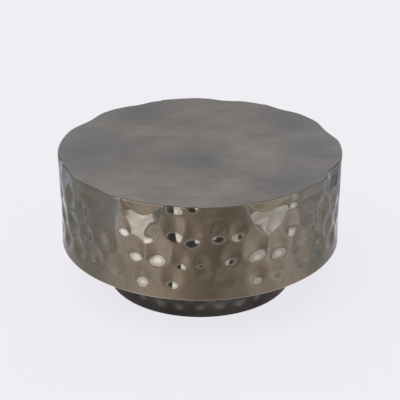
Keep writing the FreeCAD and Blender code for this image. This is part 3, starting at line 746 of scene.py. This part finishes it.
def pressed_board():
    """Fibreboard: brown fibres of mixed tone."""
    material, tree, shader, place = new_material("pressed_board")
    fibre = noise(tree, stretched(tree, place, (1, 1, 4)), 220.0, 5.0, 0.7)
    tone = ramp(tree, fibre, (0.30, (0.22, 0.14, 0.08)), (0.70, (0.42, 0.30, 0.19)))
    tree.links.new(tone, shader.inputs["Base Color"])
    shader.inputs["Roughness"].default_value = 0.85
    bump(tree, shader, fibre, 0.3, 0.0005)
    return material


# The table

hammer_press = press_tree()
hammered_wall = panel_tree()
flat_top = top_tree()
round_the_circle = ring_tree()
bronze = polished_bronze()
pewter = brushed_pewter()
plinth_bronze = shaded_dark_bronze()
zinc = zinc_plate()

# Columns, rows and rolled rows of the sheets
WALL_GRID = (400, 90, 6)
PLINTH_GRID = (240, 45, 0)
for side, middle in (("front", 0), ("back", math.pi)):
    hammered_panel(f"drum_wall_{side}", f"drum_panel_{side}", "hammered_wall", bronze,
                   drum_dents(), WALL_GRID, Radius=DRUM_RADIUS, Foot=WALL_FOOT, Rim=ROLL_FOOT,
                   Edge=EDGE_RADIUS, Ripple=DRUM_RIPPLE, Middle=middle)
    hammered_panel(f"plinth_wall_{side}", f"plinth_panel_{side}", "hammered_plinth", plinth_bronze,
                   plinth_dents(), PLINTH_GRID, Radius=PLINTH_RADIUS, Foot=PLINTH_FOOT, Rim=PLINTH_TOP,
                   Edge=0.0, Ripple=PLINTH_RIPPLE, Middle=middle)

RIM_POINTS = 800
table_top = new_piece("table_top", dent_points("table_top", drum_dents()))
run_tree(table_top, flat_top, Material=pewter, Radius=DRUM_RADIUS, Foot=WALL_FOOT, Rim=ROLL_FOOT,
         Ripple=DRUM_RIPPLE, Level=TABLE_TOP, Edge=EDGE_RADIUS, Points=RIM_POINTS)
thicken(table_top, TOP_THICKNESS)
settle(table_top)
fit_to_frame(table_top, "brushed_top", "top_sheet")

# Heads sit at the low end of each CAD node, and the first fastener stands on the X axis
SCREW_HEAD_RADIUS, SCREW_HEAD_HEIGHT, SCREW_SHANK = 0.004, 0.0024, 0.002
BOLT_HEAD_WIDTH, BOLT_HEAD_HEIGHT, BOLT_SHANK = 0.013, 0.0053, 0.004
SCREW_COUNTS = (("floor_plate_screws", 12), ("glide_screws", 6))
BOLT_COUNT = 8
WASHER_RADIUS = 0.008
BOLT_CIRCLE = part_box("plinth_washers")[1].x - WASHER_RADIUS
for node_name, count in SCREW_COUNTS:
    low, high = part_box(node_name)
    level = low.z + SCREW_HEAD_HEIGHT
    screw = pan_screw(node_name, SCREW_HEAD_RADIUS, SCREW_HEAD_HEIGHT, SCREW_SHANK, high.z - level)
    fastener_ring(f"cross_{node_name}", node_name, screw, count, high.x - SCREW_HEAD_RADIUS, level)
low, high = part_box("plinth_bolts")
level = low.z + BOLT_HEAD_HEIGHT
bolt = hex_bolt("plinth_bolts", BOLT_HEAD_WIDTH, BOLT_HEAD_HEIGHT, BOLT_SHANK, high.z - level)
fastener_ring("hexagon_bolts", "plinth_bolts", bolt, BOLT_COUNT, BOLT_CIRCLE, level)

# Finishes of the CAD nodes that stay

NODE_FINISHES = (
    (lacquered_floor(), ("floor_plate",)),
    (painted("black_primer", (0.012, 0.012, 0.013), (0.026, 0.025, 0.024), 0.5, 260.0), (
        "top_ring", "top_bar_lower", "top_bar_upper", "drum_strap_left", "drum_strap_right", "floor_ring",
        "floor_bar_lower", "floor_bar_upper", "plinth_strap_left", "plinth_strap_right", "plinth_flange",
        "plinth_foot_ring")),
    (zinc, ("top_ring_screws", "plinth_washers", "plinth_nuts")),
    (pressed_board(), ("top_board",)),
    (painted("black_nylon", (0.030, 0.030, 0.031), (0.050, 0.050, 0.049), 0.55, 400.0), ("glides",)),
)
for finish, names in NODE_FINISHES:
    for node_name in names:
        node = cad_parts[node_name]
        node.data.materials.clear()
        node.data.materials.append(finish)

# Stage: pale floor, soft light and reflection cards

PALE = (0.863, 0.855, 0.896, 1)
FLOOR_COAT = (0.80, 0.80, 0.82, 1)

# In gloss the floor goes from warm to cool between these distances to either side
WARM_FLOOR, COOL_FLOOR = (0.90, 0.855, 0.83, 1), (0.81, 0.885, 1.0, 1)
WARM_UP_TO, COOL_FROM = 0.3, 1.0

# Uneven tone of the floor in gloss: lowest and highest
UNEVEN_LOW, UNEVEN_HIGH = 0.72, 1.28
FLOOR_REACH = 12.0
FLOOR_GLOW = 0.90

# Glow of the floor in gloss: distance from the axis, strength
FLOOR_FALL = ((PLINTH_RADIUS, 0.48), (0.365, 0.50), (0.42, 1.15), (0.50, 1.30), (0.54, 1.10), (0.62, 0.93),
              (0.78, 0.86), (1.70, 1.06))

# Pools of light and shade on the floor, seen only in gloss: X, Y, reach, strength
LIGHT_POOLS = (
    (-0.66, -0.82, 0.72, 1.05), (0.78, -0.72, 0.70, 0.90), (-0.38, -0.64, 0.45, 0.25),
    (0.62, -0.42, 0.42, 0.30), (0.25, -1.00, 0.50, -0.22), (-1.22, -0.05, 0.40, 0.20),
    (1.20, -0.32, 0.40, 0.30), (-0.95, 0.25, 0.50, -0.30), (-0.84, 0.68, 0.40, -0.45),
    (0.82, 0.62, 0.50, -0.60), (-0.60, 0.46, 0.30, 0.60), (0.60, 0.46, 0.30, 0.40),
    (-0.50, 0.12, 0.26, -0.50), (0.50, 0.12, 0.26, -0.50), (0.50, -0.96, 0.35, -0.25),
    (-0.13, -0.68, 0.30, 0.25), (1.32, 0.62, 0.36, -0.65),
)


def seen_ray(tree):
    """1 for rays that show the background: from the camera, in gloss and through glass."""
    path = add(tree, "ShaderNodeLightPath").outputs
    seen = maths(tree, "MAXIMUM", path["Is Camera Ray"], path["Is Glossy Ray"])
    return maths(tree, "MAXIMUM", seen, path["Is Transmission Ray"])


def pale_floor():
    """Pale floor with a soft shadow. In gloss it falls off towards the table and is a little uneven."""
    material, tree, shader, place = new_material("pale_floor")
    shader.inputs["Base Color"].default_value = FLOOR_COAT
    shader.inputs["Roughness"].default_value = 0.9
    shader.inputs["Specular IOR Level"].default_value = 0.0
    distance = add(tree, "ShaderNodeVectorMath", {0: place}, operation="LENGTH").outputs["Value"]
    fall = by_stops(tree, distance, *FLOOR_FALL)
    cloud = noise(tree, place, 3.2, 3.0, 0.6)
    uneven = maths(tree, "MULTIPLY", fall, spread(tree, cloud, UNEVEN_LOW, UNEVEN_HIGH))
    for across, along, reach, strong in LIGHT_POOLS:
        away = distance_between(tree, place, (across, along, 0))
        pool = add(tree, "ShaderNodeMapRange", {
            "Value": away, "From Min": reach, "From Max": 0.0, "To Min": 1.0, "To Max": 1.0 + strong},
            interpolation_type="SMOOTHSTEP").outputs["Result"]
        uneven = maths(tree, "MULTIPLY", uneven, pool)
    gloss = add(tree, "ShaderNodeLightPath").outputs["Is Glossy Ray"]
    strength = maths(tree, "MULTIPLY_ADD", gloss, maths(tree, "SUBTRACT", uneven, 1.0), 1.0)
    sideways = maths(tree, "ABSOLUTE", parts_of(tree, place)["X"])
    aside = spread(tree, sideways, 0.0, 1.0, WARM_UP_TO, COOL_FROM)
    tint = mix_colour(tree, gloss, PALE, mix_colour(tree, aside, WARM_FLOOR, COOL_FLOOR))
    glow = add(tree, "ShaderNodeEmission", {"Color": tint, "Strength": strength})
    mix = add(tree, "ShaderNodeMixShader", {
        0: maths(tree, "MULTIPLY", seen_ray(tree), FLOOR_GLOW), 1: shader.outputs["BSDF"],
        2: glow.outputs["Emission"]})
    tree.links.new(mix.outputs["Shader"], tree.nodes["Material Output"].inputs["Surface"])
    return material


def glow_by_height(name, colour, *stops):
    """Card that glows by height above the floor: stops are height in metres and strength."""
    material = bpy.data.materials.new(name)
    material.use_nodes = True
    tree = material.node_tree
    tree.nodes.clear()
    place = add(tree, "ShaderNodeTexCoord").outputs["Object"]
    height = parts_of(tree, place)["Z"]
    strength = by_stops(tree, height, *stops)
    glow = add(tree, "ShaderNodeEmission", {"Color": (*colour, 1), "Strength": strength})
    add(tree, "ShaderNodeOutputMaterial", {"Surface": glow.outputs["Emission"]})
    return material


def only_in_gloss(name, corners, faces, material):
    """Card of the stage that shows in the metal alone."""
    mesh = bpy.data.meshes.new(name)
    mesh.from_pydata(corners, [], faces)
    mesh.materials.append(material)
    piece = new_piece(name, mesh)
    piece.visible_camera = False
    piece.visible_diffuse = False
    piece.visible_shadow = False


CARD_STEPS = 24


def ring_strip(middle, width, first, last):
    """Corners and faces of a strip of a turned surface: first and last are (reach, height)."""
    corners = []
    for step in range(CARD_STEPS + 1):
        angle = math.radians(middle + width * (step / CARD_STEPS - 0.5))
        for reach, height in (first, last):
            corners.append((reach * math.sin(angle), -reach * math.cos(angle), height))
    faces = [(2 * step, 2 * step + 2, 2 * step + 3, 2 * step + 1) for step in range(CARD_STEPS)]
    return corners, faces


def upright_card(name, middle, width, low, high, reach, material):
    """Card that stands in an arc round the table, between two heights."""
    only_in_gloss(name, *ring_strip(middle, width, (reach, low), (reach, high)), material)


def flat_card(name, middle, width, inner, outer, height, material):
    """Card that lies level over the table, between two distances from the axis."""
    only_in_gloss(name, *ring_strip(middle, width, (inner, height), (outer, height)), material)


floor_mesh = bpy.data.meshes.new("floor")
floor_mesh.from_pydata([(-FLOOR_REACH, -FLOOR_REACH, 0), (FLOOR_REACH, -FLOOR_REACH, 0),
                        (FLOOR_REACH, FLOOR_REACH, 0), (-FLOOR_REACH, FLOOR_REACH, 0)], [], [(0, 1, 2, 3)])
floor_mesh.materials.append(pale_floor())
new_piece("floor", floor_mesh)

# Glow of the cards by height
WHITE = (0.91, 1.0, 1.12)
COLD = (0.84, 1.0, 1.15)
NEUTRAL = (1.0, 1.0, 1.0)
softbox = glow_by_height("softbox", WHITE, (0.06, 4.0), (0.10, 2.6), (0.17, 2.9), (0.30, 5.1), (0.60, 4.7))
dim_softbox = glow_by_height("dim_softbox", WHITE, (0.06, 2.9), (0.10, 1.7), (0.17, 1.8), (0.30, 3.5),
                             (0.60, 3.0))
rear_softbox = glow_by_height("rear_softbox", WHITE, (0.0, 0.9), (0.4, 1.3))
left_foot = glow_by_height("softbox_foot", WHITE, (0.0, 3.4), (0.14, 3.4))
right_foot = glow_by_height("dim_softbox_foot", WHITE, (0.0, 2.4), (0.14, 2.4))
horizon = glow_by_height("horizon", WHITE, (0.0, 2.2), (0.09, 2.2))
darkness = glow_by_height("dark_studio", COLD, (0.10, 0.55), (0.32, 0.24), (2.0, 0.24))
dusk = glow_by_height("dusk", NEUTRAL, (0.0, 0.66), (3.0, 0.66))

# Upright cards: name, middle and width in degrees, lower and upper edge, distance from the axis, glow
UPRIGHT_CARDS = (
    ("softbox_left", -41, 47, 0.02, 0.95, 1.90, softbox),
    ("softbox_right", 50, 42, 0.02, 0.95, 1.90, dim_softbox),
    ("softbox_foot_left", -41, 47, 0.0, 0.24, 1.92, left_foot),
    ("softbox_foot_right", 46, 50, 0.0, 0.30, 1.92, right_foot),
    ("dark_front", 0, 100, 0.08, 0.90, 2.0, darkness),
    ("horizon_line", 6, 76, 0.0, 0.09, 2.1, horizon),
    ("softbox_rear_left", -150, 30, 0.02, 0.95, 1.90, rear_softbox),
    ("softbox_rear_right", 150, 30, 0.02, 0.95, 1.90, rear_softbox),
    ("dark_rear", 180, 30, 0.06, 0.45, 2.0, darkness),
    ("dark_left", -122, 30, 0.40, 1.8, 2.4, darkness),
    ("dark_right", 122, 30, 0.40, 1.8, 2.4, darkness),
)
for card in UPRIGHT_CARDS:
    upright_card(*card)

CEILING_INNER, CEILING_OUTER, CEILING_HEIGHT = 0.01, 2.4, 2.7
flat_card("dark_ceiling", 0, 360, CEILING_INNER, CEILING_OUTER, CEILING_HEIGHT, dusk)

# Light on the object

AMBIENT_STRENGTH = 0.62
SUN_STRENGTH = 1.55
SUN_SPREAD = math.radians(50)
SUN_TURN = (math.radians(18), math.radians(-14), 0)

world = bpy.data.worlds.new("studio")
bpy.context.scene.world = world
world.use_nodes = True
sky = world.node_tree
sky.nodes.clear()
ambient = add(sky, "ShaderNodeBackground", {"Color": (1, 1, 1, 1), "Strength": AMBIENT_STRENGTH})
backdrop = add(sky, "ShaderNodeBackground", {"Color": PALE, "Strength": 1.0})
sky_mix = add(sky, "ShaderNodeMixShader", {
    0: seen_ray(sky), 1: ambient.outputs["Background"], 2: backdrop.outputs["Background"]})
add(sky, "ShaderNodeOutputWorld", {"Surface": sky_mix.outputs["Shader"]})

sun = bpy.data.objects.new("overhead", bpy.data.lights.new("overhead", "SUN"))
sun.data.energy = SUN_STRENGTH
sun.data.angle = SUN_SPREAD
sun.rotation_euler = SUN_TURN
sun.visible_glossy = False
bpy.context.scene.collection.objects.link(sun)

# Camera at the photograph's place

CAMERA_AIM = Vector((0, 0, 0.2622))
CAMERA_DISTANCE = 3.5839
CAMERA_LIFT = math.radians(25.367)
SENSOR_WIDTH, LENS = 36, 99.25
camera = bpy.data.objects.new("camera", bpy.data.cameras.new("camera"))
camera.data.sensor_width = SENSOR_WIDTH
camera.data.lens = LENS
back = Vector((0, -math.cos(CAMERA_LIFT), math.sin(CAMERA_LIFT)))
camera.location = CAMERA_AIM + back * CAMERA_DISTANCE
camera.rotation_euler = (-back).to_track_quat("-Z", "Y").to_euler()
bpy.context.scene.collection.objects.link(camera)
bpy.context.scene.camera = camera
bpy.context.scene.view_settings.view_transform = "Standard"
